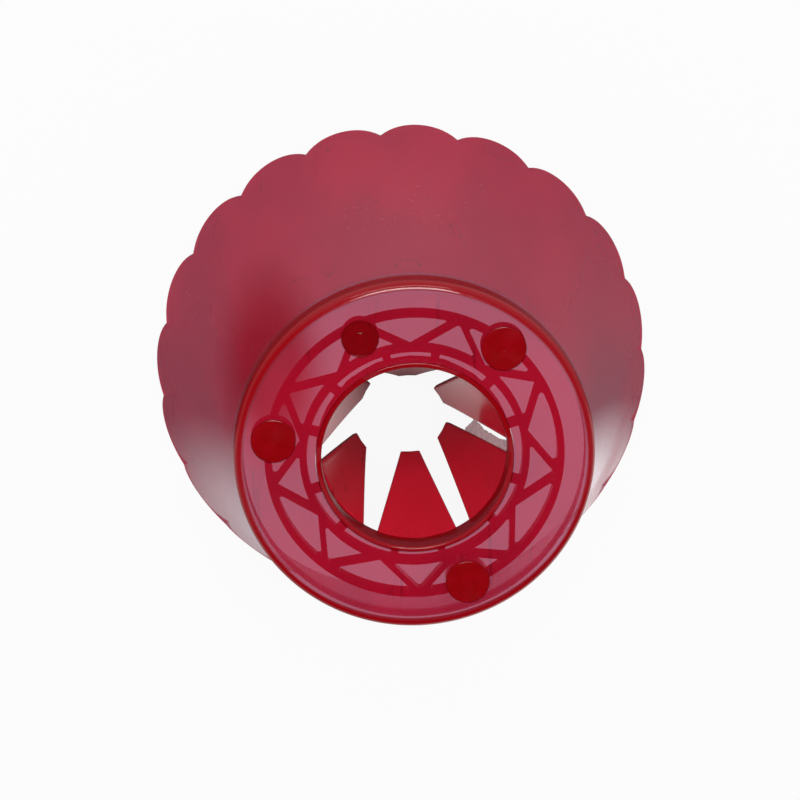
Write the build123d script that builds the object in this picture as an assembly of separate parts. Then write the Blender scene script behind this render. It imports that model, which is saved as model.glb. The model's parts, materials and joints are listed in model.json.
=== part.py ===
from build123d import *
from math import asin, atan, cos, degrees, hypot, radians, sin, sqrt
import os

# A hand-held candle's wind guard. It stands on its scalloped mouth, with its foot upwards.
# Millimetres and degrees, +Z up, origin on the axis, at the level of the scallops' tips.
# Angles are measured about +Z from +X.

# Cup
cup_height = 57.0
foot_depth = 5.0          # the straight part of the wall, next to the floor
foot_corner = 1.4
mouth_radius = 46.2       # outside, at the scallops' tips
flare_hollow = 1.0        # how far the flared wall curves in from a straight cone
wall = 1.5
floor = 1.2

# Scallops round the mouth
scallop_count = 20
scallop_depth = 4.0
scallop_tip_flat = 1.2
first_scallop = 12.0

# Grip collar, from the bore outwards
bore_radius = 15.5
tube_wall = 0.9
tube_depth = 4.8
window_width = 1.5        # between the tube and the inner ring
ring_width = 1.2
truss_width = 4.6         # between the inner and the outer ring
plain_width = 3.6         # between the outer ring and the inside of the foot
rib_width = 1.0
rib_height = 2.0
zigzag_count = 9
first_zigzag = 10.0       # where the first pair of ribs meets on the inner ring
short_rib_spread = 13.3   # each side of a finger's middle
short_rib_width = 1.3

# Fingers
finger_count = 6
first_finger = 30.0
finger_drop = 26.5        # from the outside of the floor to the tips, before the set
finger_tip_radius = 6.0   # inside face, before the set
finger_tip_width = 3.3
finger_wall = 1.0
finger_set = (0.0, 2.0, 6.0, 9.5, 2.0, 1.0)   # how far each has been bent open by use
slot_root_width = 2.6

# Rivets
rivet_count = 3
first_rivet = 50.0
rivet_inset = 0.7         # from the middle of the outer ring to the rivets' circle
rivet_head_radius = 3.7
rivet_head_depth = 0.6
rivet_shank_radius = 1.5
rivet_stake_radius = 2.4
rivet_stake_height = 0.8

# Gate mark in the floor, with a pad of the collar behind it
gate_angle = 111.5
gate_inset = 1.9          # from the middle of the outer ring
gate_radius = 3.1
gate_depth = 0.3
gate_nub_radius = 0.9

# Clearances
hinge_gap = 0.1           # between the tube's end and a finger's root
seat_gap = 0.05           # between pieces that are pressed or laid together

# Levels and radii that follow
floor_inside = cup_height - floor
collar_top = floor_inside - seat_gap
collar_bottom = collar_top - rib_height
tube_radius = bore_radius + tube_wall
tube_end = cup_height - tube_depth
inner_ring_radius = tube_radius + window_width + ring_width / 2
outer_ring_radius = inner_ring_radius + truss_width + ring_width
rivet_circle_radius = outer_ring_radius - rivet_inset
gate_circle_radius = outer_ring_radius - gate_inset
foot_inside = outer_ring_radius + ring_width / 2 + plain_width
foot_radius = foot_inside + wall
finger_root = tube_end - hinge_gap
finger_tip = cup_height - finger_drop
flare_top = cup_height - foot_depth
flare_angle = atan((mouth_radius - foot_radius) / flare_top)


def turned(shape, angle):
    return Rot(0, 0, angle) * shape


def disc(radius, low, high):
    return Pos(0, 0, low) * extrude(Circle(radius), high - low)


def ring(inner, outer, low, high):
    return disc(outer, low, high) - disc(inner, low, high)


def flare_arc(foot_edge, mouth_edge):
    """The flared wall's line in section, from the foot to the mouth."""
    lean = hypot(mouth_edge - foot_edge, flare_top)
    hollow_r = flare_hollow * flare_top / lean
    hollow_z = flare_hollow * (mouth_edge - foot_edge) / lean
    middle = ((foot_edge + mouth_edge) / 2 - hollow_r, flare_top / 2 - hollow_z)
    return ThreePointArc((foot_edge, flare_top), middle, (mouth_edge, 0))


def scallop_cutter():
    """What is cut away between two scallops, with its cusp on +X."""
    half = mouth_radius * sin(radians(180 / scallop_count))
    radius = (half ** 2 + scallop_depth ** 2) / (2 * scallop_depth)

    def edge(across):
        return radius - sqrt(radius ** 2 - (half - across) ** 2)

    end = half - scallop_tip_flat / 2
    below = -scallop_depth
    with BuildSketch(Plane.YZ) as outline:
        with BuildLine():
            ThreePointArc((0, scallop_depth), (end / 2, edge(end / 2)), (end, edge(end)))
            Polyline((end, edge(end)), (end, below), (-end, below), (-end, edge(end)))
            ThreePointArc((-end, edge(end)), (-end / 2, edge(end / 2)), (0, scallop_depth))
        make_face()
    return Pos(mouth_radius / 2, 0, 0) * extrude(outline.sketch, mouth_radius)


def make_cup_shell():
    corner = foot_radius - foot_corner
    mouth_inside = mouth_radius - wall / cos(flare_angle)
    with BuildSketch(Plane.XZ) as section:
        with BuildLine():
            Line((0, cup_height), (corner, cup_height))
            RadiusArc((corner, cup_height), (foot_radius, cup_height - foot_corner), foot_corner)
            Line((foot_radius, cup_height - foot_corner), (foot_radius, flare_top))
            flare_arc(foot_radius, mouth_radius)
            Line((mouth_radius, 0), (mouth_inside, 0))
            flare_arc(foot_inside, mouth_inside)
            Polyline((foot_inside, flare_top), (foot_inside, floor_inside), (0, floor_inside), (0, cup_height))
        make_face()
    shell = revolve(section.sketch, Axis.Z)
    cusp = first_scallop - 180 / scallop_count
    for i in range(scallop_count):
        shell -= turned(scallop_cutter(), cusp + i * 360 / scallop_count)
    shell -= disc(tube_radius + seat_gap, collar_bottom, cup_height + floor)
    seat = disc(rivet_head_radius + seat_gap, cup_height - rivet_head_depth, cup_height + floor)
    hole = disc(rivet_shank_radius + seat_gap, collar_bottom, cup_height + floor)
    for i in range(rivet_count):
        shell -= turned(Pos(rivet_circle_radius, 0, 0) * (seat + hole), first_rivet + i * 360 / rivet_count)
    mark = ring(gate_nub_radius, gate_radius, cup_height - gate_depth, cup_height + floor)
    return shell - turned(Pos(gate_circle_radius, 0, 0) * mark, gate_angle)


def zigzag_rib(start_angle, end_angle):
    """A straight rib from the inner ring to the outer ring."""
    start = Vector(inner_ring_radius, 0).rotate(Axis.Z, start_angle)
    end = Vector(outer_ring_radius, 0).rotate(Axis.Z, end_angle)
    middle = (start + end) / 2
    run = end - start
    plane = Plane(origin=(middle.X, middle.Y, collar_bottom), x_dir=run, z_dir=(0, 0, 1))
    return extrude(plane * Rectangle(run.length, rib_width), rib_height)


def make_grip_collar():
    half_ring = ring_width / 2
    collar = ring(bore_radius, tube_radius, tube_end, cup_height)
    for radius in (inner_ring_radius, outer_ring_radius):
        collar += ring(radius - half_ring, radius + half_ring, collar_bottom, collar_top)
    pitch = 360 / zigzag_count
    for i in range(zigzag_count):
        start = first_zigzag + i * pitch
        collar += zigzag_rib(start, start - pitch / 2)
        collar += zigzag_rib(start, start + pitch / 2)
    inner_end = bore_radius + tube_wall / 2
    length = inner_ring_radius - inner_end
    middle_level = (collar_bottom + collar_top) / 2
    short_rib = Pos(inner_end + length / 2, 0, middle_level) * Box(length, short_rib_width, rib_height)
    for i in range(finger_count):
        middle = first_finger + i * 360 / finger_count
        collar += turned(short_rib, middle - short_rib_spread)
        collar += turned(short_rib, middle + short_rib_spread)
    boss = Pos(rivet_circle_radius, 0, 0) * disc(rivet_head_radius, collar_bottom, collar_top)
    hole = Pos(rivet_circle_radius, 0, 0) * disc(rivet_shank_radius + seat_gap, collar_bottom, collar_top)
    for i in range(rivet_count):
        collar += turned(boss, first_rivet + i * 360 / rivet_count)
    for i in range(rivet_count):
        collar -= turned(hole, first_rivet + i * 360 / rivet_count)
    pad = Pos(gate_circle_radius, 0, 0) * disc(gate_radius, collar_bottom, collar_top)
    return collar + turned(pad, gate_angle)


def make_finger(opened):
    """A finger with its middle on +X: a cut from a cone, narrowing to a blunt tip, swung open about its root."""
    outer_lean = finger_tip_radius + finger_wall
    with BuildSketch(Plane.XZ) as section:
        with BuildLine():
            Polyline((bore_radius, finger_root), (tube_radius, finger_root), (outer_lean, finger_tip),
                     (finger_tip_radius, finger_tip), (bore_radius, finger_root))
        make_face()
    share = 360 / finger_count
    cone = turned(revolve(section.sketch, Axis.Z, share), -share / 2)
    slot_angle = degrees(asin(slot_root_width / 2 / tube_radius))
    root_half = tube_radius * sin(radians(share / 2 - slot_angle))
    tip_half = finger_tip_width / 2
    with BuildSketch(Plane.YZ) as face:
        with BuildLine():
            Polyline((-root_half, finger_root), (root_half, finger_root), (tip_half, finger_tip),
                     (-tip_half, finger_tip), (-root_half, finger_root))
        make_face()
    finger = cone & extrude(face.sketch, foot_radius)
    return finger.rotate(Axis((tube_radius, 0, finger_root), (0, -1, 0)), opened)


def make_rivet():
    """A rivet on the axis: flush head, shank and the stake formed over the collar's boss."""
    head = disc(rivet_head_radius, cup_height - rivet_head_depth, cup_height)
    stake_top = collar_bottom - seat_gap
    shank = disc(rivet_shank_radius, stake_top, cup_height - rivet_head_depth)
    stake = disc(rivet_stake_radius, stake_top - rivet_stake_height, stake_top)
    stake = fillet(stake.edges().sort_by(Axis.Z)[0], rivet_stake_height / 2)
    return head + shank + stake


def save(shape, name):
    shape.label = name
    export_step(shape, f"parts/{name}.step")


os.makedirs("parts", exist_ok=True)
save(make_cup_shell(), "cup_shell")
save(make_grip_collar(), "grip_collar")
for i in range(finger_count):
    save(turned(make_finger(finger_set[i]), first_finger + i * 360 / finger_count), f"finger_{i + 1}")
rivet = Pos(rivet_circle_radius, 0, 0) * make_rivet()
for i in range(rivet_count):
    save(turned(rivet, first_rivet + i * 360 / rivet_count), f"rivet_{i + 1}")
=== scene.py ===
"""A hand-held candle's wind guard: red clear plastic cup, grip collar, springy fingers and studs."""

import json
import math
import random

import bmesh
import bpy
import numpy as np
from bpy.props import FloatProperty, FloatVectorProperty, IntProperty
from mathutils import Matrix, Vector

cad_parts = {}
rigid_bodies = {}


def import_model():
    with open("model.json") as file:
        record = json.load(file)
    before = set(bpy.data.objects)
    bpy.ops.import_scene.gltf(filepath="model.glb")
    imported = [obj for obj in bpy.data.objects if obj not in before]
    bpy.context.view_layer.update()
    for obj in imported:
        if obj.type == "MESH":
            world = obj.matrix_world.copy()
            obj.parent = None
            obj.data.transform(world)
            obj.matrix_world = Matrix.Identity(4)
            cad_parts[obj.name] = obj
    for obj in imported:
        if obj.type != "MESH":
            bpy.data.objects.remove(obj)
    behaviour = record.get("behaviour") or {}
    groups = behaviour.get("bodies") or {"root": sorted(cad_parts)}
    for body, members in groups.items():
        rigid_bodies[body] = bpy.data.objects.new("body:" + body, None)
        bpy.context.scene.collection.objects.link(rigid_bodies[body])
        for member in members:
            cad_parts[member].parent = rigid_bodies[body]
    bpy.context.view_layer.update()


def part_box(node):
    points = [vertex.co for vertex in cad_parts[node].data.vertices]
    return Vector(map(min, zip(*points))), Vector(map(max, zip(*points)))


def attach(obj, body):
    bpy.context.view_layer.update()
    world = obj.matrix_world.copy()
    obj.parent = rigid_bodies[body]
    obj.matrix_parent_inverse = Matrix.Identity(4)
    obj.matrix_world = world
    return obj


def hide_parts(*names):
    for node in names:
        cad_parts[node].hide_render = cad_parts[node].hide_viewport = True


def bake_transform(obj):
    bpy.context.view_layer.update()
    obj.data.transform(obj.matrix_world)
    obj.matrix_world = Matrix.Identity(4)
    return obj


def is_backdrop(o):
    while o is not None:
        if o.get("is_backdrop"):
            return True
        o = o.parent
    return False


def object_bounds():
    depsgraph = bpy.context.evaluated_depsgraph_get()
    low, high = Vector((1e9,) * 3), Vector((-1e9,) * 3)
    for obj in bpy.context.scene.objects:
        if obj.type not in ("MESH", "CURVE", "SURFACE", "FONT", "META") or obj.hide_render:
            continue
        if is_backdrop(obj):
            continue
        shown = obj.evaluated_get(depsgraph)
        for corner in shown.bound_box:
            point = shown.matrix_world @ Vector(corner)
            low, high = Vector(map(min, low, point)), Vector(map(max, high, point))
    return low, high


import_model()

bl_info = {
    "name": "Candle Wind Guard",
    "version": (1, 0, 0),
    "blender": (4, 2, 0),
    "location": "View3D > Sidebar > Wind Guard",
    "description": "Builds a scalloped candle wind guard with its grip collar, fingers and studs",
    "category": "Add Mesh",
}

MM = 0.001
STUDS = 3
FINGERS = 6
FINGER_SET = (0.0, 2.0, 6.0, 9.5, 2.0, 1.0)   # degrees that each finger has been bent open by use
SEAT_GAP = 0.05 * MM                          # round a stud's head and shank
HINGE_GAP = 0.1 * MM                          # between the tube's end and a finger's root
SHORT_RIB_SPREAD = math.radians(13.3)         # each side of a finger's middle
SHORT_RIB_WIDTH = 1.3 * MM
FLAT_RADIUS = 22 * MM                         # the curve that a finger's section tends to at its tip
FOCAL_LENGTH = 2349.1 * 36 / 800              # for a 36 mm sensor


# Sizes that a user may change

def length(name, description, millimetres):
    return FloatProperty(name=name, description=description, default=millimetres * MM,
                         unit="LENGTH", subtype="DISTANCE", precision=5)


def angle(name, description, degrees):
    return FloatProperty(name=name, description=description, default=math.radians(degrees),
                         unit="ROTATION", subtype="ANGLE")


def colour(name, description, value):
    return FloatVectorProperty(name=name, description=description, default=value, size=3,
                               subtype="COLOR", min=0, max=1)


def share(name, description, value):
    return FloatProperty(name=name, description=description, default=value, min=0, max=1, subtype="FACTOR")


class CupSizes(bpy.types.PropertyGroup):
    height: FloatProperty(name="Height", description="From the scallops' tips to the foot's face",
                          default=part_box("cup_shell")[1].z, unit="LENGTH", subtype="DISTANCE")
    mouth: FloatProperty(name="Mouth radius", description="Outside radius at the scallops' tips",
                         default=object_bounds()[1][0], unit="LENGTH", subtype="DISTANCE")
    foot: length("Foot radius", "Outside radius of the foot", 30.0)
    foot_depth: length("Foot depth", "The straight part of the wall next to the floor", 5.0)
    foot_corner: length("Foot corner", "Rounding of the foot's outer corner", 1.4)
    hollow: length("Flare hollow", "How far the flared wall curves in from a straight cone", 1.0)
    wall: length("Wall", "Thickness of the wall", 1.5)
    floor: length("Floor", "Thickness of the foot's floor", 1.2)
    hole: length("Hole radius", "The floor's hole, round the collar's tube", 16.45)
    scallops: IntProperty(name="Scallops", description="How many scallops edge the mouth", default=20, min=3)
    scallop_depth: length("Scallop depth", "From a scallop's tip to the cusp beside it", 4.0)
    first_cusp: angle("First cusp", "Where the first cusp between two scallops stands", 3.0)


class CollarSizes(bpy.types.PropertyGroup):
    bore: length("Bore radius", "The hole that the candle goes through", 15.5)
    tube_wall: length("Tube wall", "Thickness of the tube round the bore", 0.9)
    tube_depth: length("Tube depth", "How deep the tube reaches from the foot's face", 4.8)
    inner_ring: length("Inner ring radius", "Middle of the inner ring", 18.5)
    outer_ring: length("Outer ring radius", "Middle of the outer ring", 24.3)
    ring_width: length("Ring width", "Width of both rings", 1.2)
    rib_width: length("Rib width", "Width of a zigzag rib", 1.0)
    rib_height: length("Rib height", "Height of the ribs and rings", 2.0)
    rib_top: length("Rib top", "Level of the ribs' upper faces", 55.75)
    zigzags: IntProperty(name="Zigzags", description="How many pairs of ribs go round", default=9, min=3)
    first_zigzag: angle("First zigzag", "Where the first pair of ribs meets on the inner ring", 10.0)
    bay_round: length("Bay rounding", "Rounding of the corners of the bays between ribs", 0.45)


class FingerSizes(bpy.types.PropertyGroup):
    first: angle("First finger", "Where the first finger stands", 30.0)
    root_radius: length("Root radius", "Outside radius at a finger's root", 16.4)
    tip_radius: length("Tip radius", "Outside radius at a finger's tip", 7.0)
    root_level: length("Root level", "Level of the fingers' roots", 52.1)
    tip_level: length("Tip level", "Level of the fingers' tips", 30.5)
    thickness: length("Thickness", "Thickness of a finger", 1.0)
    root_half: length("Half width at root", "Half a finger's width at its root", 7.05)
    tip_half: length("Half width at tip", "Half a finger's width at its tip", 1.65)
    bend: length("Bend length", "How much of a finger bends when it opens", 3.0)


class StudSizes(bpy.types.PropertyGroup):
    circle: length("Stud circle", "Radius of the circle that the studs stand on", 23.6)
    first: angle("First stud", "Where the first stud stands", 50.0)
    head: length("Head radius", "Radius of a stud's head", 3.7)
    head_depth: length("Head depth", "How deep a stud's head is", 0.6)
    shank: length("Shank radius", "Radius of a stud's shank", 1.5)
    stake: length("Stake radius", "Radius of the end formed over the collar", 2.4)
    stake_height: length("Stake height", "Height of the end formed over the collar", 0.8)
    gate_angle: angle("Gate angle", "Where the gate mark stands", 111.5)
    gate_circle: length("Gate circle", "Distance of the gate mark from the axis", 22.4)
    gate: length("Gate radius", "Radius of the gate mark", 3.1)
    gate_depth: length("Gate depth", "How deep the gate mark is", 0.3)
    gate_nub: length("Gate nub", "Radius of the nub in the gate mark", 0.9)


class PlasticLook(bpy.types.PropertyGroup):
    body: colour("Body", "Colour of the clear plastic", (0.60, 0.006, 0.030))
    ribs: colour("Ribs", "Colour of the collar's ribs, seen through the floor", (0.38, 0.008, 0.020))
    rim: colour("Rim", "Colour of the foot's thick rim and of the collar's tube", (0.36, 0.001, 0.005))
    # the fingers' red is lighter than the body's: painted light, standing in for the light that reaches the
    # thin fingers inside the cup
    grip: colour("Grip", "Colour of the fingers", (0.80, 0.010, 0.030))
    deep: colour("Deep", "Colour where the plastic is thick", (0.19, 0.001, 0.004))
    tint: colour("Tint", "What one face of the plastic does to the light that passes it", (0.86, 0.78, 0.94))
    floor_veil: share("Floor", "How much one face of the floor hides of what is behind it", 0.60)
    wall_veil: share("Wall", "How much one face of the flared wall hides of what is behind it", 0.74)
    gloss: share("Roughness", "Roughness of the moulded faces", 0.10)


class StageLook(bpy.types.PropertyGroup):
    sky: share("Sky", "Strength of the even light all round", 0.5)
    key: FloatProperty(name="Key", description="Power of the low soft lamp", default=0.75, unit="POWER")
    top: FloatProperty(name="Top", description="Power of the lamp over the foot", default=1.7, unit="POWER")


# Mesh helpers

def new_piece(name, mesh):
    piece = bpy.data.objects.new(name, mesh)
    bpy.context.scene.collection.objects.link(piece)
    return piece


def mesh_from(name, points, faces):
    mesh = bpy.data.meshes.new(name)
    mesh.from_pydata([tuple(p) for p in points], [], faces)
    mesh.validate()
    return mesh


def tidy_mesh(mesh, merge=1e-6, smooth=35):
    """Doubles merged, normals outwards, smooth faces with sharp edges kept."""
    work = bmesh.new()
    work.from_mesh(mesh)
    bmesh.ops.remove_doubles(work, verts=work.verts, dist=merge)
    bmesh.ops.dissolve_degenerate(work, edges=work.edges, dist=merge)
    bmesh.ops.recalc_face_normals(work, faces=work.faces)
    work.to_mesh(mesh)
    work.free()
    mesh.shade_smooth()
    mesh.set_sharp_from_angle(angle=math.radians(smooth))
    return mesh


def revolved(name, profile, columns, closed=True, angles=None):
    """A profile of (radius, level) turned about the axis. Ends on the axis close to a pole."""
    turns = angles if angles is not None else np.arange(columns) * 2 * math.pi / columns
    points, faces, rows = [], [], []
    for radius, level in profile:
        if radius < 1e-9:
            rows.append([len(points)] * len(turns))
            points.append((0, 0, level))
        else:
            rows.append(list(range(len(points), len(points) + len(turns))))
            points += [(radius * math.cos(t), radius * math.sin(t), level) for t in turns]
    pairs = list(zip(rows, rows[1:])) + ([(rows[-1], rows[0])] if closed else [])
    for a, b in pairs:
        for i in range(len(turns)):
            j = (i + 1) % len(turns)
            ring = [a[i], a[j], b[j], b[i]]
            ring = [v for n, v in enumerate(ring) if v not in ring[:n]]
            if len(ring) > 2:
                faces.append(ring)
    return mesh_from(name, points, faces)


def arc(centre, radius, start, end, steps):
    """Points of an arc in section, angles in degrees."""
    return [(centre[0] + radius * math.cos(math.radians(start + (end - start) * i / steps)),
             centre[1] + radius * math.sin(math.radians(start + (end - start) * i / steps)))
            for i in range(steps + 1)]


def evaluated(piece):
    """The piece with its modifiers applied, as a plain mesh on the same object."""
    bpy.context.view_layer.update()
    graph = bpy.context.evaluated_depsgraph_get()
    mesh = bpy.data.meshes.new_from_object(piece.evaluated_get(graph), depsgraph=graph)
    piece.modifiers.clear()
    old, piece.data = piece.data, mesh
    mesh.name = piece.name
    if old.users == 0:
        bpy.data.meshes.remove(old)
    return mesh


def boolean(piece, tools, operation):
    for tool in tools:
        change = piece.modifiers.new("Cut", "BOOLEAN")
        change.operation = operation
        change.solver = "EXACT"
        change.object = tool
        evaluated(piece)
        bpy.data.objects.remove(tool)


def around(mesh, angle_, radius=0.0):
    """The mesh moved out along +X and turned about the axis."""
    mesh.transform(Matrix.Rotation(angle_, 4, "Z") @ Matrix.Translation((radius, 0, 0)))
    return mesh


def plug(name, radius, low, high, columns=64):
    return revolved(name, [(0, low), (radius, low), (radius, high), (0, high)], columns, closed=False)


# Geometry Nodes helpers

class Tree:
    """A Geometry Nodes tree under construction, with its inputs by name."""

    def __init__(self, name, inputs):
        self.group = bpy.data.node_groups.new(name, "GeometryNodeTree")
        face = self.group.interface
        face.new_socket("Geometry", in_out="INPUT", socket_type="NodeSocketGeometry")
        self.ids = {}
        for label, kind, value in inputs:
            socket = face.new_socket(label, in_out="INPUT", socket_type=f"NodeSocket{kind}")
            if value is not None:
                socket.default_value = value
            self.ids[label] = socket.identifier
        face.new_socket("Geometry", in_out="OUTPUT", socket_type="NodeSocketGeometry")
        self.source = self.group.nodes.new("NodeGroupInput")
        self.sink = self.group.nodes.new("NodeGroupOutput")

    def node(self, kind, settings=None, **inputs):
        made = self.group.nodes.new(kind)
        for name, value in (settings or {}).items():
            setattr(made, name, value)
        for name, value in inputs.items():
            key = int(name[1:]) if name[0] == "i" and name[1:].isdigit() else name.replace("_", " ")
            self.feed(made.inputs[key], value)
        return made

    def feed(self, socket, value):
        if isinstance(value, bpy.types.NodeSocket):
            self.group.links.new(value, socket)
        elif isinstance(value, bpy.types.Node):
            self.group.links.new(value.outputs[0], socket)
        else:
            socket.default_value = value

    def input(self, label):
        return self.source.outputs[label]

    def math(self, operation, *values):
        made = self.group.nodes.new("ShaderNodeMath")
        made.operation = operation
        for socket, value in zip(made.inputs, values):
            self.feed(socket, value)
        return made.outputs[0]

    def finish(self, geometry):
        real = self.node("GeometryNodeRealizeInstances", Geometry=geometry)
        paint = self.node("GeometryNodeSetMaterial", Geometry=real, Material=self.input("Material"))
        self.group.links.new(paint.outputs[0], self.sink.inputs[0])

    def apply(self, piece, **values):
        """Puts the tree on a piece, sets its inputs and leaves a plain mesh."""
        modifier = piece.modifiers.new(self.group.name, "NODES")
        modifier.node_group = self.group
        for label, value in values.items():
            modifier[self.ids[label.replace("_", " ")]] = value
        return evaluated(piece)


# Materials

class Finish:
    """A material's nodes under construction."""

    def __init__(self, name):
        self.material = bpy.data.materials.new(name)
        self.material.use_nodes = True
        self.tree = self.material.node_tree
        self.tree.nodes.clear()
        self.out = self.tree.nodes.new("ShaderNodeOutputMaterial")
        self.shader = self.node("ShaderNodeBsdfPrincipled")
        self.tree.links.new(self.shader.outputs[0], self.out.inputs["Surface"])
        self.place = self.node("ShaderNodeTexCoord").outputs["Object"]

    def node(self, kind, settings=None, **inputs):
        made = self.tree.nodes.new(kind)
        for name, value in (settings or {}).items():
            setattr(made, name, value)
        for name, value in inputs.items():
            self.feed(made.inputs[name.replace("_", " ")], value)
        return made

    def feed(self, socket, value):
        if isinstance(value, bpy.types.NodeSocket):
            self.tree.links.new(value, socket)
        else:
            socket.default_value = value

    def math(self, operation, *values):
        made = self.tree.nodes.new("ShaderNodeMath")
        made.operation = operation
        for socket, value in zip(made.inputs, values):
            self.feed(socket, value)
        return made.outputs[0]

    def noise(self, scale, detail=2.0, stretch=(1, 1, 1)):
        place = self.node("ShaderNodeMapping", Vector=self.place, Scale=stretch).outputs[0]
        return self.node("ShaderNodeTexNoise", Vector=place, Scale=scale, Detail=detail).outputs[0]

    def ramp(self, value, low, high, out_low=0.0, out_high=1.0):
        return self.node("ShaderNodeMapRange", {"interpolation_type": "SMOOTHSTEP"}, Value=value,
                         From_Min=low, From_Max=high, To_Min=out_low, To_Max=out_high).outputs[0]

    def mix(self, amount, a, b):
        made = self.node("ShaderNodeMix", {"data_type": "RGBA"})
        self.feed(made.inputs[0], amount)
        self.feed(made.inputs[6], a)
        self.feed(made.inputs[7], b)
        return made.outputs[2]


def rgba(value):
    return (*value, 1.0)


def see_through(f, solid, tint):
    """Mixes the shader with what is behind it, tinted."""
    clear = f.node("ShaderNodeBsdfTransparent", Color=rgba(tint))
    mixed = f.node("ShaderNodeMixShader")
    f.feed(mixed.inputs[0], solid)
    f.tree.links.new(clear.outputs[0], mixed.inputs[1])
    f.tree.links.new(f.shader.outputs[0], mixed.inputs[2])
    f.tree.links.new(mixed.outputs[0], f.out.inputs["Surface"])


def clear_plastic(name, look, part):
    """Glossy see-through red: deeper where it is thick, lighter in the fingers as painted light, with fine
    scratches, swirl and handling marks.
    """
    f = Finish(name)
    axes = f.node("ShaderNodeSeparateXYZ", Vector=f.place)
    x, y, z = axes.outputs
    radius = f.math("SQRT", f.math("ADD", f.math("MULTIPLY", x, x), f.math("MULTIPLY", y, y)))
    swirl = f.noise(55.0, 3.0, (1, 1, 0.35))
    # the fingers take the lighter red: painted light
    own = {"cup": look.body, "collar": look.ribs, "finger": look.grip}[part]
    base = f.mix(f.ramp(swirl, 0.35, 0.65, 0.0, 0.75), rgba(own), rgba([c * 0.78 for c in own]))
    solid = {"cup": look.floor_veil, "collar": 0.88, "finger": 0.92}[part]
    if part == "cup":
        solid = f.ramp(z, 52 * MM, 51 * MM, look.floor_veil, look.wall_veil)
        rim = f.math("MULTIPLY", f.ramp(radius, 28.0 * MM, 28.9 * MM), f.ramp(z, 51.4 * MM, 52.6 * MM))
        base = f.mix(rim, base, rgba(look.rim))
        studs = bpy.context.scene.guard_studs
        gate = Vector((math.cos(studs.gate_angle), math.sin(studs.gate_angle), 0)) * studs.gate_circle
        off = f.node("ShaderNodeVectorMath", {"operation": "SUBTRACT"}, Vector=f.place)
        off.inputs[1].default_value = gate
        flat = f.node("ShaderNodeVectorMath", {"operation": "MULTIPLY"})
        f.feed(flat.inputs[0], off.outputs[0])
        flat.inputs[1].default_value = (1, 1, 0)
        apart = f.node("ShaderNodeVectorMath", {"operation": "LENGTH"})
        f.feed(apart.inputs[0], flat.outputs[0])
        within = f.ramp(apart.outputs["Value"], 3.25 * MM, 3.0 * MM)
        mark = f.math("MULTIPLY", within, f.ramp(z, 50 * MM, 51 * MM))
        base = f.mix(mark, base, rgba((look.deep[0] * 1.3, look.deep[1], look.deep[2])))
        solid = f.math("MAXIMUM", solid, f.math("MULTIPLY", f.math("MAXIMUM", mark, rim), 0.97))
    if part == "collar":
        tube = f.ramp(radius, 16.9 * MM, 16.5 * MM)
        base = f.mix(tube, base, rgba(look.rim))
    line = f.noise(120.0, 6.0, (1.0, 0.06, 0.5))
    scratch = f.ramp(f.math("ABSOLUTE", f.math("SUBTRACT", line, 0.5)), 0.005, 0.0)
    scratch = f.math("MULTIPLY", scratch, f.ramp(f.noise(60.0, 1.0), 0.50, 0.62))
    base = f.mix(f.math("MULTIPLY", scratch, 0.55), base, rgba(look.deep))
    f.feed(f.shader.inputs["Base Color"], base)
    smear = f.ramp(f.noise(38.0, 4.0, (1, 1, 0.6)), 0.52, 0.75, 0.0, 0.16)
    speck = f.ramp(f.noise(900.0, 2.0), 0.62, 0.78, 0.0, 0.12)
    rough = f.math("ADD", f.math("ADD", smear, speck), look.gloss)
    f.feed(f.shader.inputs["Roughness"], rough)
    height = f.math("ADD", f.math("MULTIPLY", f.noise(70.0, 2.0), 0.7), f.math("MULTIPLY", scratch, -0.08))
    bump = f.node("ShaderNodeBump", Strength=0.12, Distance=0.4 * MM, Height=height)
    f.feed(f.shader.inputs["Normal"], bump.outputs[0])
    f.shader.inputs["IOR"].default_value = 1.5
    f.shader.inputs["Specular IOR Level"].default_value = 0.5 if part == "cup" else 0.3
    see_through(f, solid, look.tint)
    return f.material


def stud_plastic(name, look):
    """The same plastic in a solid stud: deep red, nearly opaque, with faint turning and pin marks."""
    f = Finish(name)
    cloud = f.noise(400.0, 3.0)
    base = f.mix(f.ramp(cloud, 0.35, 0.7), rgba((0.29, 0.0008, 0.003)), rgba((0.33, 0.001, 0.005)))
    f.feed(f.shader.inputs["Base Color"], base)
    rough = f.ramp(f.noise(260.0, 4.0), 0.4, 0.7, look.gloss, look.gloss + 0.08)
    f.feed(f.shader.inputs["Roughness"], rough)
    bump = f.node("ShaderNodeBump", Strength=0.06, Distance=0.1 * MM, Height=f.noise(500.0, 3.0))
    f.feed(f.shader.inputs["Normal"], bump.outputs[0])
    f.shader.inputs["IOR"].default_value = 1.5
    return f.material


def flash_plastic(name, look):
    """Thin clear skin left by the mould."""
    f = Finish(name)
    pale = f.mix(f.noise(900.0, 3.0), rgba((0.55, 0.14, 0.18)), rgba((0.72, 0.38, 0.42)))
    f.feed(f.shader.inputs["Base Color"], pale)
    f.feed(f.shader.inputs["Roughness"], f.ramp(f.noise(700.0), 0.3, 0.7, 0.1, 0.35))
    f.shader.inputs["IOR"].default_value = 1.5
    f.shader.inputs["Alpha"].default_value = 0.6
    return f.material


def material(name):
    """A finish by name, made once."""
    found = bpy.data.materials.get(name)
    if found:
        return found
    look = bpy.context.scene.guard_plastic
    if name == "stud plastic":
        return stud_plastic(name, look)
    if name == "flash plastic":
        return flash_plastic(name, look)
    part = {"cup plastic": "cup", "collar plastic": "collar", "finger plastic": "finger"}[name]
    return clear_plastic(name, look, part)


# Cup

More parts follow.
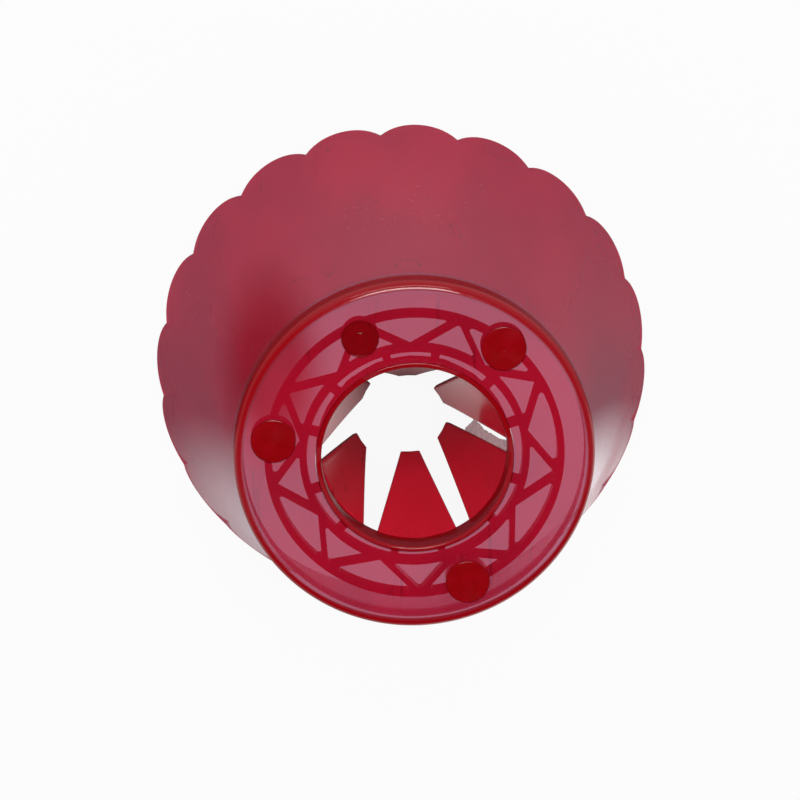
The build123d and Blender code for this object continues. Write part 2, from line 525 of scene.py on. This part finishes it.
def flare_radius(level, top, foot_edge, mouth_edge, hollow):
    """Radius of the flared wall at a level: an arc from (foot_edge, top) to (mouth_edge, 0)."""
    lean = math.hypot(mouth_edge - foot_edge, top)
    arc_radius = (lean * lean / 4 + hollow * hollow) / (2 * hollow)
    middle = Vector(((foot_edge + mouth_edge) / 2, top / 2))
    out = Vector((-top, -(mouth_edge - foot_edge))).normalized()
    centre = middle + out * hollow - out * arc_radius
    # the arc bows towards the axis, so its centre lies outside it
    side = -1 if centre.x > middle.x else 1
    return centre.x + side * math.sqrt(arc_radius ** 2 - (level - centre.y) ** 2)


def cup_profile(s):
    """Section of the cup from the hole's upper edge, out and down to the lip, and back up inside.
    Each point has a share of 0 to 1 that says how much of the scallops' cut it follows."""
    top, flare_top = s.height, s.height - s.foot_depth
    inside = s.foot - s.wall
    lean = math.atan((s.mouth - s.foot) / flare_top)
    mouth_inside = s.mouth - s.wall / math.cos(lean)
    profile = [(r, top, 0) for r in np.linspace(s.hole, s.foot - s.foot_corner, 16)]
    profile.insert(-1, (s.foot - s.foot_corner - 0.08 * MM, top, 0))
    corner = arc((s.foot - s.foot_corner, top - s.foot_corner), s.foot_corner, 90, 0, 9)[1:]
    profile += [(r, z, 0) for r, z in corner]
    profile += [(s.foot, z, 0) for z in np.linspace(top - s.foot_corner, flare_top + 0.6 * MM, 4)[1:]]
    steps = 48
    lip = 0.45 * MM
    for i in range(1, steps + 1):
        down = i / steps
        level = flare_top * (1 - down) + lip * down
        profile.append((flare_radius(level, flare_top, s.foot, s.mouth, s.hollow), level, down))
    outer_end, inner_end = s.mouth, mouth_inside
    middle = (outer_end + inner_end) / 2
    half = (outer_end - inner_end) / 2
    for i in range(1, 8):
        t = math.pi * i / 8
        profile.append((middle + half * math.cos(t) * 0.995, lip * (1 - math.sin(t)), 1))
    for i in range(steps + 1):
        down = 1 - i / steps
        level = flare_top * (1 - down) + lip * down
        profile.append((flare_radius(level, flare_top, inside, mouth_inside, s.hollow), level, down))
    floor_level = top - s.floor
    fillet = 0.5 * MM
    profile += [(inside, z, 0) for z in np.linspace(flare_top, floor_level - fillet, 4)[1:]]
    profile += [(r, z, 0) for r, z in arc((inside - fillet, floor_level - fillet), fillet, 0, 90, 4)[1:]]
    profile += [(r, floor_level, 0) for r in np.linspace(inside - fillet, s.hole, 14)[1:]]
    return profile


def scallop_tree():
    """Lifts the lip between the scallops: each column's edge follows a round scallop with a sharp cusp."""
    t = Tree("Scalloped mouth", [
        ("Scallops", "Int", 20), ("Depth", "Float", 0.004), ("Mouth radius", "Float", 0.0462),
        ("First cusp", "Float", 0.0), ("Material", "Material", None)])
    place = t.node("GeometryNodeInputPosition")
    axes = t.node("ShaderNodeSeparateXYZ", Vector=place)
    x, y, z = axes.outputs
    part = t.math("DIVIDE", 2 * math.pi, t.input("Scallops"))
    turn = t.math("SUBTRACT", t.math("ARCTAN2", y, x), t.input("First cusp"))
    local = t.math("WRAP", turn, t.math("MULTIPLY", part, 0.5), t.math("MULTIPLY", part, -0.5))
    half = t.math("MULTIPLY", t.input("Mouth radius"), t.math("SINE", t.math("MULTIPLY", part, 0.5)))
    across = t.math("MULTIPLY", t.input("Mouth radius"), t.math("SINE", t.math("ABSOLUTE", local)))
    depth = t.input("Depth")
    squares = t.math("ADD", t.math("MULTIPLY", half, half), t.math("MULTIPLY", depth, depth))
    round_ = t.math("DIVIDE", squares, t.math("MULTIPLY", depth, 2.0))
    from_peak = t.math("MAXIMUM", t.math("SUBTRACT", half, across), 0.0)
    inner = t.math("SUBTRACT", t.math("MULTIPLY", round_, round_), t.math("MULTIPLY", from_peak, from_peak))
    lift = t.math("SUBTRACT", round_, t.math("SQRT", t.math("MAXIMUM", inner, 0.0)))
    follow = t.node("GeometryNodeInputNamedAttribute", {"data_type": "FLOAT"}, Name="follow").outputs[0]
    rise = t.math("MULTIPLY", lift, follow)
    radius = t.math("SQRT", t.math("ADD", t.math("MULTIPLY", x, x), t.math("MULTIPLY", y, y)))
    slope = t.node("GeometryNodeInputNamedAttribute", {"data_type": "FLOAT"}, Name="slope").outputs[0]
    shrink = t.math("DIVIDE", t.math("ADD", radius, t.math("MULTIPLY", slope, rise)), radius)
    moved = t.node("ShaderNodeCombineXYZ", X=t.math("MULTIPLY", x, shrink), Y=t.math("MULTIPLY", y, shrink),
                   Z=t.math("ADD", z, rise))
    t.finish(t.node("GeometryNodeSetPosition", Geometry=t.input("Geometry"), Position=moved))
    return t


class GUARD_OT_cup(bpy.types.Operator):
    """Makes the scalloped cup with its foot, stud seats and gate mark"""
    bl_idname = "guard.cup"
    bl_label = "Cup"

    def execute(self, context):
        s, studs = context.scene.guard_cup, context.scene.guard_studs
        profile = cup_profile(s)
        columns = s.scallops * 16
        turns = s.first_cusp + np.arange(columns) * 2 * math.pi / columns
        mesh = revolved("cup_shell", [(r, z) for r, z, _ in profile], columns, angles=turns)
        rows = np.repeat(np.array([f for _, _, f in profile]), columns)
        flare_top = s.height - s.foot_depth
        slopes = []
        for r, z, f in profile:
            a = flare_radius(min(z + 0.5 * MM, flare_top), flare_top, s.foot, s.mouth, s.hollow)
            b = flare_radius(max(z - 0.5 * MM, 0), flare_top, s.foot, s.mouth, s.hollow)
            slopes.append((a - b) / (1.0 * MM) if f else 0.0)
        for name, values in (("follow", rows), ("slope", np.repeat(np.array(slopes), columns))):
            field = mesh.attributes.new(name, "FLOAT", "POINT")
            field.data.foreach_set("value", values.astype(np.float32))
        cup = new_piece("cup_shell_look", mesh)
        scallop_tree().apply(cup, Scallops=s.scallops, Depth=s.scallop_depth, Mouth_radius=s.mouth,
                             First_cusp=s.first_cusp, Material=material("cup plastic"))
        for name in ("follow", "slope"):
            cup.data.attributes.remove(cup.data.attributes[name])
        tidy_mesh(cup.data)
        tools = []
        for i in range(STUDS):
            turn = studs.first + i * 2 * math.pi / STUDS
            top = s.height
            seat = plug("seat", studs.head + SEAT_GAP, top - studs.head_depth, top + MM, 72)
            tools.append(new_piece("seat", tidy_mesh(around(seat, turn, studs.circle))))
            hole = plug("hole", studs.shank + SEAT_GAP, top - 3 * MM, top, 40)
            tools.append(new_piece("hole", tidy_mesh(around(hole, turn, studs.circle))))
        top = s.height
        groove = [(studs.gate_nub, top + MM), (studs.gate_nub, top - studs.gate_depth),
                  (studs.gate - 0.12 * MM, top - studs.gate_depth), (studs.gate, top + MM)]
        mark = revolved("mark", groove, 72)
        tools.append(new_piece("mark", tidy_mesh(around(mark, studs.gate_angle, studs.gate_circle))))
        boolean(cup, tools, "DIFFERENCE")
        tidy_mesh(cup.data, smooth=32)
        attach(cup, "cup")
        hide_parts("cup_shell")
        return {"FINISHED"}


# Collar

def bay_outlines(s):
    """Corner lines of the two bays in one pitch of the zigzag, as closed loops on the rib's level."""
    pitch = 2 * math.pi / s.zigzags
    low, high = s.inner_ring + s.ring_width / 2, s.outer_ring - s.ring_width / 2

    def on(radius, turn):
        return Vector((radius * math.cos(turn), radius * math.sin(turn)))

    def rib_edge(start_turn, end_turn, side):
        a, b = on(s.inner_ring, start_turn), on(s.outer_ring, end_turn)
        run = (b - a).normalized()
        out = Vector((-run.y, run.x)) * side * s.rib_width / 2
        return a + out, run

    def meet_circle(line, radius):
        point, run = line
        half = point.dot(run)
        return point + run * (-half + math.sqrt(half * half - point.length_squared + radius ** 2))

    def meet(a, b):
        (p, u), (q, v) = a, b
        across = u.x * v.y - u.y * v.x
        t = ((q.x - p.x) * v.y - (q.y - p.y) * v.x) / across
        return p + u * t

    def sweep(radius, a, b, steps=10):
        start, end = math.atan2(a.y, a.x), math.atan2(b.y, b.x)
        return [on(radius, start + (end - start) * i / steps) for i in range(steps + 1)]

    start = s.first_zigzag
    left, right = rib_edge(start, start + pitch / 2, -1), rib_edge(start, start - pitch / 2, 1)
    apex = meet(left, right)
    a, b = meet_circle(right, high), meet_circle(left, high)
    outward = [apex] + sweep(high, a, b) if apex.length > low else None
    if outward is None:
        c, d = meet_circle(left, low), meet_circle(right, low)
        outward = sweep(high, a, b) + sweep(low, c, d, 4)
    # the next bay lies between this pair's second rib and the next pair's first, and narrows outwards
    second, third = rib_edge(start, start + pitch / 2, 1), rib_edge(start + pitch, start + pitch / 2, -1)
    apex = meet(second, third)
    a, b = meet_circle(second, low), meet_circle(third, low)
    if apex.length < high:
        inward = [apex] + sweep(low, b, a)
    else:
        c, d = meet_circle(third, high), meet_circle(second, high)
        inward = sweep(low, a, b) + sweep(high, c, d, 4)
    return outward, inward


def lattice_tree():
    """One pitch's bays are rounded, repeated round the axis, cut from a ring-shaped plate and thickened."""
    t = Tree("Zigzag lattice", [
        ("Bays", "Int", 9), ("Corner", "Float", 0.0004), ("Inner radius", "Float", 0.0179),
        ("Outer radius", "Float", 0.0249), ("Height", "Float", 0.002), ("Level", "Float", 0.05375),
        ("Material", "Material", None)])
    outlines = t.node("GeometryNodeMeshToCurve", Mesh=t.input("Geometry"))
    rounded = t.node("GeometryNodeFilletCurve", Curve=outlines, Radius=t.input("Corner"))
    if "Mode" in rounded.inputs:
        rounded.inputs["Mode"].default_value = "Poly"
    else:
        rounded.mode = "POLY"
    rounded.inputs["Count"].default_value = 4
    if "Limit Radius" in rounded.inputs:
        rounded.inputs["Limit Radius"].default_value = True
    spots = t.node("GeometryNodePoints", Count=t.input("Bays"))
    step = t.math("DIVIDE", 2 * math.pi, t.input("Bays"))
    turn = t.math("MULTIPLY", t.node("GeometryNodeInputIndex"), step)
    spin = t.node("ShaderNodeCombineXYZ", Z=turn)
    copies = t.node("GeometryNodeInstanceOnPoints", Points=spots, Instance=rounded, Rotation=spin)
    rings = []
    for label in ("Inner radius", "Outer radius"):
        ring = t.node("GeometryNodeCurvePrimitiveCircle", Resolution=180)
        t.feed(next(i for i in ring.inputs if i.name == "Radius" and i.enabled), t.input(label))
        rings.append(ring)
    joined = t.node("GeometryNodeJoinGeometry")
    for part in (copies, *rings):
        t.group.links.new(part.outputs[0], joined.inputs[0])
    flat = t.node("GeometryNodeRealizeInstances", Geometry=joined)
    face = t.node("GeometryNodeFillCurve", Curve=flat)
    raised = t.node("ShaderNodeCombineXYZ", Z=t.input("Level"))
    placed = t.node("GeometryNodeSetPosition", Geometry=face, Offset=raised)
    thick = t.node("GeometryNodeExtrudeMesh", Mesh=placed, Individual=False)
    up = t.node("ShaderNodeCombineXYZ", Z=1.0)
    t.feed(thick.inputs["Offset"], up)
    t.feed(thick.inputs["Offset Scale"], t.input("Height"))
    base = t.node("GeometryNodeFlipFaces", Mesh=placed)
    both = t.node("GeometryNodeJoinGeometry")
    for part in (thick, base):
        t.group.links.new(part.outputs[0], both.inputs[0])
    merged = t.node("GeometryNodeMergeByDistance", Geometry=both, Distance=1e-6)
    t.finish(merged)
    return t


def bar(name, start, end, width, low, high):
    """A short rib between two radii along +X."""
    points = [(r, y, z) for z in (low, high) for r, y in
              ((start, -width / 2), (end, -width / 2), (end, width / 2), (start, width / 2))]
    faces = [(3, 2, 1, 0), (4, 5, 6, 7), (0, 1, 5, 4), (1, 2, 6, 5), (2, 3, 7, 6), (3, 0, 4, 7)]
    return mesh_from(name, points, faces)


class GUARD_OT_collar(bpy.types.Operator):
    """Makes the collar: tube, two rings, zigzag ribs, short ribs and the bosses behind the studs"""
    bl_idname = "guard.collar"
    bl_label = "Grip collar"

    def execute(self, context):
        s, studs = context.scene.guard_collar, context.scene.guard_studs
        fingers = context.scene.guard_fingers
        points, edges = [], []
        for outline in bay_outlines(s):
            first = len(points)
            points += [(p.x, p.y, 0) for p in outline]
            count = len(outline)
            edges += [(first + i, first + (i + 1) % count) for i in range(count)]
        loops = bpy.data.meshes.new("bays")
        loops.from_pydata(points, edges, [])
        collar = new_piece("grip_collar_look", loops)
        bottom = s.rib_top - s.rib_height
        half_ring = s.ring_width / 2
        lattice_tree().apply(collar, Bays=s.zigzags, Corner=s.bay_round,
                             Inner_radius=s.inner_ring - half_ring, Outer_radius=s.outer_ring + half_ring,
                             Height=s.rib_height, Level=bottom,
                             Material=material("collar plastic"))
        tidy_mesh(collar.data)
        top = context.scene.guard_cup.height
        tube_radius = s.bore + s.tube_wall
        r = 0.22 * MM
        section = [(s.bore, top - s.tube_depth)]
        section += [(tube_radius - r + x, top - s.tube_depth + y)
                    for x, y in ((0, 0), (r * 0.7, r * 0.3), (r, r))]
        section += arc((tube_radius - r, top - r), r, 0, 90, 3)
        section += arc((s.bore + 2 * r, top - 2 * r), 2 * r, 90, 180, 5)
        tube = new_piece("tube", tidy_mesh(revolved("tube", section, 192)))
        solids = [tube]
        middle = s.rib_top - s.rib_height / 2
        for i in range(FINGERS):
            for side in (-1, 1):
                turn = fingers.first + i * math.pi / 3 + side * SHORT_RIB_SPREAD
                rib = bar("short rib", tube_radius - 0.3 * MM, s.inner_ring - 0.1 * MM, SHORT_RIB_WIDTH,
                          middle - s.rib_height / 2 + 0.03 * MM, middle + s.rib_height / 2 - 0.03 * MM)
                solids.append(new_piece("short rib", tidy_mesh(around(rib, turn))))
        for i in range(STUDS):
            turn = studs.first + i * 2 * math.pi / STUDS
            boss = plug("boss", studs.head, bottom + 0.01 * MM, s.rib_top - 0.01 * MM, 72)
            solids.append(new_piece("boss", tidy_mesh(around(boss, turn, studs.circle))))
        pad = plug("pad", studs.gate, bottom + 0.01 * MM, s.rib_top - 0.01 * MM, 64)
        solids.append(new_piece("pad", tidy_mesh(around(pad, studs.gate_angle, studs.gate_circle))))
        boolean(collar, solids, "UNION")
        holes = []
        for i in range(STUDS):
            hole = plug("hole", studs.shank + SEAT_GAP, bottom - MM, s.rib_top + MM, 40)
            turn = studs.first + i * 2 * math.pi / STUDS
            holes.append(new_piece("hole", tidy_mesh(around(hole, turn, studs.circle))))
        boolean(collar, holes, "DIFFERENCE")
        collar.data.materials.clear()
        collar.data.materials.append(material("collar plastic"))
        tidy_mesh(collar.data, smooth=30)
        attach(collar, "cup")
        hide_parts("grip_collar")
        return {"FINISHED"}


# Fingers

def finger_mesh(name, s, turn, opened):
    """A tapered blade bent across its width, with rounded edges and a blunt rounded tip."""
    stations, around_count = 44, 40
    top = s.root_level + HINGE_GAP
    slant = Vector((s.tip_radius - s.root_radius, s.tip_level - top))
    run = slant.length
    across = Vector((-slant.y, slant.x)).normalized()
    if across.x < 0:
        across = -across
    points = []
    for i in range(stations + 1):
        t = i / stations
        end = max(0.0, (t * run - (run - 0.5 * MM)) / (0.5 * MM))
        cap = math.sqrt(max(0.0, 1 - end * end)) if end > 0 else 1.0
        cap = 0.25 + 0.75 * cap
        half = s.root_half + (s.tip_half - s.root_half) * t
        half = half - (1 - cap) * 0.5 * MM
        thick = s.thickness / 2 * cap
        centre = Vector((s.root_radius, top)) + slant * t - across * s.thickness / 2
        bend = centre.x + (FLAT_RADIUS - centre.x) * 0.25 * t
        for j in range(around_count):
            p = 2 * math.pi * j / around_count
            c, q = math.cos(p), math.sin(p)
            u = math.copysign(abs(c) ** 0.16, c) * half
            v = math.copysign(abs(q) ** 0.45, q) * thick
            limit = bend + v
            lie = u / max(bend, 1e-6)
            x = centre.x - bend + limit * math.cos(lie)
            y = limit * math.sin(lie)
            points.append((x, y, centre.y + across.y * v))
    faces = []
    for i in range(stations):
        for j in range(around_count):
            k = (j + 1) % around_count
            a, b = i * around_count, (i + 1) * around_count
            faces.append((a + j, a + k, b + k, b + j))
    faces.append(tuple(range(around_count)))
    faces.append(tuple(reversed(range(stations * around_count, (stations + 1) * around_count))))
    mesh = mesh_from(name, points, faces)
    hinge = Matrix.Translation((s.root_radius, 0, s.root_level))
    mesh.transform(hinge @ Matrix.Rotation(opened, 4, (0, -1, 0)) @ hinge.inverted())
    mesh.transform(Matrix.Rotation(turn, 4, "Z"))
    return tidy_mesh(mesh, smooth=40)


class GUARD_OT_fingers(bpy.types.Operator):
    """Makes the six springy fingers that grip the candle"""
    bl_idname = "guard.fingers"
    bl_label = "Fingers"

    def execute(self, context):
        s = context.scene.guard_fingers
        for k, opened in enumerate(FINGER_SET):
            turn = s.first + k * math.pi / 3
            body = f"finger_{k + 1}"
            mesh = finger_mesh(f"{body}_look", s, turn, math.radians(opened))
            mesh.materials.append(material("finger plastic"))
            finger = new_piece(f"{body}_look", mesh)
            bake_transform(finger)
            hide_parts(body)
        return {"FINISHED"}


class GUARD_OT_flash(bpy.types.Operator):
    """Makes the thin ragged skin that the mould left along one finger's edge"""
    bl_idname = "guard.flash"
    bl_label = "Mould flash"

    def execute(self, context):
        s = context.scene.guard_fingers
        turn = s.first + 5 * math.pi / 3
        draw = random.Random(7)
        top = s.root_level
        rows, points, faces = 60, [], []
        reach = ((0.0, 0.9), (0.07, 0.9), (0.12, 0.70), (0.42, 0.66), (0.47, 0.9), (0.58, 0.88), (0.70, 0.1))
        for i in range(rows + 1):
            t = 0.01 + 0.69 * i / rows
            half = s.root_half + (s.tip_half - s.root_half) * t
            radius = s.root_radius + (s.tip_radius - s.root_radius) * t - s.thickness / 2
            gap = 2 * radius * math.sin(math.pi / 6 - math.asin(half / radius))
            width = gap * (np.interp(t, *zip(*reach)) + draw.uniform(-0.05, 0.05))
            level = top + (s.tip_level - top) * t
            bend = radius + (FLAT_RADIUS - radius) * 0.25 * t
            thick = (0.07 + 0.05 * draw.random()) * MM
            for u in (half - 0.35 * MM, half + width):
                for v in (-thick, thick):
                    lie = u / bend
                    reached = bend + v
                    points.append((radius - bend + reached * math.cos(lie), reached * math.sin(lie), level))
        for i in range(rows):
            a, b = i * 4, (i + 1) * 4
            for p, q in ((0, 1), (1, 3), (3, 2), (2, 0)):
                faces.append((a + p, a + q, b + q, b + p))
        faces += [(0, 2, 3, 1), tuple(rows * 4 + n for n in (0, 1, 3, 2))]
        mesh = mesh_from("mould_flash", points, faces)
        hinge = Matrix.Translation((s.root_radius, 0, s.root_level))
        mesh.transform(hinge @ Matrix.Rotation(math.radians(FINGER_SET[5]), 4, (0, -1, 0)) @ hinge.inverted())
        mesh.transform(Matrix.Rotation(turn, 4, "Z"))
        mesh.materials.append(material("flash plastic"))
        flash = new_piece("mould_flash", tidy_mesh(mesh))
        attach(flash, "finger_6")
        return {"FINISHED"}


# Studs

class GUARD_OT_studs(bpy.types.Operator):
    """Makes the three studs that pin the collar to the floor"""
    bl_idname = "guard.studs"
    bl_label = "Studs"

    def execute(self, context):
        s = context.scene.guard_studs
        top = context.scene.guard_cup.height
        boss = context.scene.guard_collar.rib_top - context.scene.guard_collar.rib_height
        stake_top = boss - SEAT_GAP
        low = stake_top - s.stake_height
        r, e = s.head, 0.16 * MM
        profile = [(0, top - 0.05 * MM), (0.35 * MM, top - 0.05 * MM), (0.5 * MM, top), (0.56 * MM, top)]
        profile += [(r - e - 0.07 * MM, top), (r - e, top)]
        profile += arc((r - e, top - e), e, 90, 0, 4)[1:]
        profile += [(r, top - s.head_depth), (s.shank, top - s.head_depth), (s.shank, stake_top),
                    (s.stake - 0.1 * MM, stake_top)]
        profile += [(s.stake * math.cos(p), stake_top - 0.1 * MM - (s.stake_height - 0.1 * MM) * math.sin(p))
                    for p in np.linspace(0, math.pi / 2, 9)[:-1]] + [(0, low)]
        for i in range(STUDS):
            turn = s.first + i * 2 * math.pi / STUDS
            mesh = around(revolved("stud", profile, 96, closed=False), turn, s.circle)
            mesh.materials.append(material("stud plastic"))
            stud = new_piece(f"rivet_{i + 1}_look", tidy_mesh(mesh, smooth=40))
            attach(stud, "cup")
            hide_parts(f"rivet_{i + 1}")
        return {"FINISHED"}


# Stage

def stage_material():
    """Pale floor: white where it is seen directly or through clear plastic, with a faint shadow, a painted
    dark patch under the rim and a painted reflection pattern for glossy rays.
    """
    f = Finish("pale floor")
    f.feed(f.shader.inputs["Base Color"], rgba((0.86, 0.86, 0.86)))
    f.shader.inputs["Roughness"].default_value = 0.6
    f.shader.inputs["Specular IOR Level"].default_value = 0.2
    path = f.node("ShaderNodeLightPath")
    axes = f.node("ShaderNodeSeparateXYZ", Vector=f.place)
    x, y, _ = axes.outputs
    # Painted reflection: what the floor shows to glossy rays is painted by place, brighter away from the
    # cup's middle line and in front of it, with a painted dark band off to one side; the cup's wall reflects
    # this painted pattern
    painted_dark_band = f.math("MULTIPLY", f.ramp(x, -0.056, -0.059), f.ramp(x, -0.110, -0.095))
    painted_dark_band = f.math("MULTIPLY", f.math("MULTIPLY", painted_dark_band, f.ramp(y, -0.02, -0.005)), f.ramp(y, 0.075, 0.045))
    side_reflection_level = f.ramp(f.math("ABSOLUTE", f.math("SUBTRACT", y, 0.012)), 0.025, 0.085, 0.04, 0.42)
    near = f.math("MULTIPLY", f.ramp(y, -0.004, -0.030), f.ramp(x, -0.035, 0.035, 0.65, 1.35))
    side_reflection_level = f.math("ADD", side_reflection_level, f.ramp(x, 0.02, 0.06, 0.0, 0.12))
    painted_reflection_level = f.math("MULTIPLY", f.math("MAXIMUM", side_reflection_level, near), f.math("SUBTRACT", 1.0, painted_dark_band))
    painted_reflection = f.node("ShaderNodeEmission", Strength=painted_reflection_level)
    # a painted dark patch on the floor under the cup's rim, seen only through its clear wall, standing in for
    # the reflection of a dark thing in that wall
    dx = f.math("DIVIDE", f.math("SUBTRACT", x, -0.0245), 0.0085)
    dy = f.math("DIVIDE", f.math("SUBTRACT", y, 0.001), 0.017)
    far = f.math("SQRT", f.math("ADD", f.math("MULTIPLY", dx, dx), f.math("MULTIPLY", dy, dy)))
    painted_dark_patch = f.ramp(far, 1.45, 0.45)
    white = f.node("ShaderNodeEmission", Strength=f.math("SUBTRACT", 1.0, f.math("MULTIPLY", painted_dark_patch, 0.8)))
    seen = f.math("MAXIMUM", path.outputs["Is Camera Ray"], path.outputs["Is Transmission Ray"])
    mixed = f.node("ShaderNodeMixShader", Fac=f.math("MULTIPLY", seen, 0.92))
    f.tree.links.new(f.shader.outputs[0], mixed.inputs[1])
    f.tree.links.new(white.outputs[0], mixed.inputs[2])
    both = f.node("ShaderNodeMixShader", Fac=path.outputs["Is Glossy Ray"])
    f.tree.links.new(mixed.outputs[0], both.inputs[1])
    f.tree.links.new(painted_reflection.outputs[0], both.inputs[2])
    # from below the floor isn't there, so that the mouth can be looked into
    below = f.node("ShaderNodeMixShader", Fac=f.node("ShaderNodeNewGeometry").outputs["Backfacing"])
    f.tree.links.new(both.outputs[0], below.inputs[1])
    f.tree.links.new(f.node("ShaderNodeBsdfTransparent").outputs[0], below.inputs[2])
    f.tree.links.new(below.outputs[0], f.out.inputs["Surface"])
    return f.material


def make_world(strength):
    world = bpy.data.worlds.new("studio")
    bpy.context.scene.world = world
    world.use_nodes = True
    tree = world.node_tree
    tree.nodes.clear()
    out = tree.nodes.new("ShaderNodeOutputWorld")
    even = tree.nodes.new("ShaderNodeBackground")
    even.inputs["Strength"].default_value = strength
    seen = tree.nodes.new("ShaderNodeBackground")
    for sky in (even, seen):
        sky.inputs["Color"].default_value = (1, 1, 1, 1)
    path = tree.nodes.new("ShaderNodeLightPath")
    place = tree.nodes.new("ShaderNodeTexCoord")
    aim = tree.nodes.new("ShaderNodeVectorMath")
    aim.operation = "DOT_PRODUCT"
    aim.inputs[1].default_value = Vector((0.02, -0.30, 0.954)).normalized()
    tree.links.new(place.outputs["Generated"], aim.inputs[0])
    dark = tree.nodes.new("ShaderNodeMapRange")
    dark.interpolation_type = "SMOOTHSTEP"
    for name, value in (("From Min", 0.30), ("From Max", 0.62), ("To Min", 0.34), ("To Max", 0.0)):
        dark.inputs[name].default_value = value
    tree.links.new(aim.outputs["Value"], dark.inputs["Value"])
    shine = tree.nodes.new("ShaderNodeBackground")
    tree.links.new(dark.outputs[0], shine.inputs["Strength"])
    straight = tree.nodes.new("ShaderNodeMixShader")
    tree.links.new(path.outputs["Is Camera Ray"], straight.inputs[0])
    tree.links.new(even.outputs[0], straight.inputs[1])
    tree.links.new(seen.outputs[0], straight.inputs[2])
    gloss = tree.nodes.new("ShaderNodeMixShader")
    tree.links.new(path.outputs["Is Glossy Ray"], gloss.inputs[0])
    tree.links.new(straight.outputs[0], gloss.inputs[1])
    tree.links.new(shine.outputs[0], gloss.inputs[2])
    tree.links.new(gloss.outputs[0], out.inputs["Surface"])


def lamp(name, place, aim, size, power, spread=180):
    light = bpy.data.lights.new(name, "AREA")
    light.shape = "RECTANGLE"
    light.size, light.size_y = size
    light.energy = power
    light.spread = math.radians(spread)
    obj = bpy.data.objects.new(name, light)
    bpy.context.scene.collection.objects.link(obj)
    place = Vector(place)
    obj.location = place
    obj.rotation_euler = (Vector(aim) - place).to_track_quat("-Z", "Y").to_euler()
    return obj


class GUARD_OT_stage(bpy.types.Operator):
    """Makes the pale floor, the even light, the soft lamps and the camera"""
    bl_idname = "guard.stage"
    bl_label = "Stage"

    def execute(self, context):
        scene, look = context.scene, context.scene.guard_stage
        work = bmesh.new()
        bmesh.ops.create_grid(work, x_segments=2, y_segments=2, size=6.0)
        mesh = bpy.data.meshes.new("floor")
        work.to_mesh(mesh)
        work.free()
        mesh.materials.append(stage_material())
        floor = new_piece("floor", mesh)
        floor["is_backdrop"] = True
        make_world(look.sky)
        lamp("key", (-0.02, 0.62, 0.62), (0, 0, 0.05), (0.50, 0.08), look.key)
        lamp("top", (0.02, 0.20, 0.72), (0, 0, 0.045), (0.22, 0.22), look.top)
        camera = bpy.data.objects.new("camera", bpy.data.cameras.new("camera"))
        scene.collection.objects.link(camera)
        camera.data.sensor_width = 36
        camera.data.lens = FOCAL_LENGTH
        camera.data.clip_start = 0.01
        camera.location = (-0.012014, 0.119147, 0.426043)
        camera.rotation_euler = [math.radians(a) for a in (-16.37, -2.17, -2.159)]
        scene.camera = camera
        scene.view_settings.view_transform = "Standard"
        return {"FINISHED"}


class GUARD_PT_panel(bpy.types.Panel):
    """Builds the wind guard piece by piece"""
    bl_idname = "GUARD_PT_panel"
    bl_label = "Candle wind guard"
    bl_space_type = "VIEW_3D"
    bl_region_type = "UI"
    bl_category = "Wind Guard"

    def draw(self, context):
        for group, operators in LAYOUT:
            box = self.layout.box()
            settings = getattr(context.scene, group)
            for name in settings.__annotations__:
                box.prop(settings, name)
            for operator in operators:
                box.operator(operator)


GROUPS = {"guard_cup": CupSizes, "guard_collar": CollarSizes, "guard_fingers": FingerSizes,
          "guard_studs": StudSizes, "guard_plastic": PlasticLook, "guard_stage": StageLook}
LAYOUT = (("guard_cup", ("guard.cup",)), ("guard_collar", ("guard.collar",)),
          ("guard_fingers", ("guard.fingers", "guard.flash")), ("guard_studs", ("guard.studs",)),
          ("guard_plastic", ()), ("guard_stage", ("guard.stage",)))
CLASSES = (*GROUPS.values(), GUARD_OT_cup, GUARD_OT_collar, GUARD_OT_fingers, GUARD_OT_flash, GUARD_OT_studs,
           GUARD_OT_stage, GUARD_PT_panel)


def register():
    for cls in CLASSES:
        bpy.utils.register_class(cls)
    for name, group in GROUPS.items():
        setattr(bpy.types.Scene, name, bpy.props.PointerProperty(type=group))


def unregister():
    for name in GROUPS:
        delattr(bpy.types.Scene, name)
    for cls in reversed(CLASSES):
        bpy.utils.unregister_class(cls)


def main():
    register()
    bpy.ops.guard.cup()
    bpy.ops.guard.collar()
    bpy.ops.guard.fingers()
    bpy.ops.guard.flash()
    bpy.ops.guard.studs()
    bpy.ops.guard.stage()


if __name__ == "__main__":
    main()
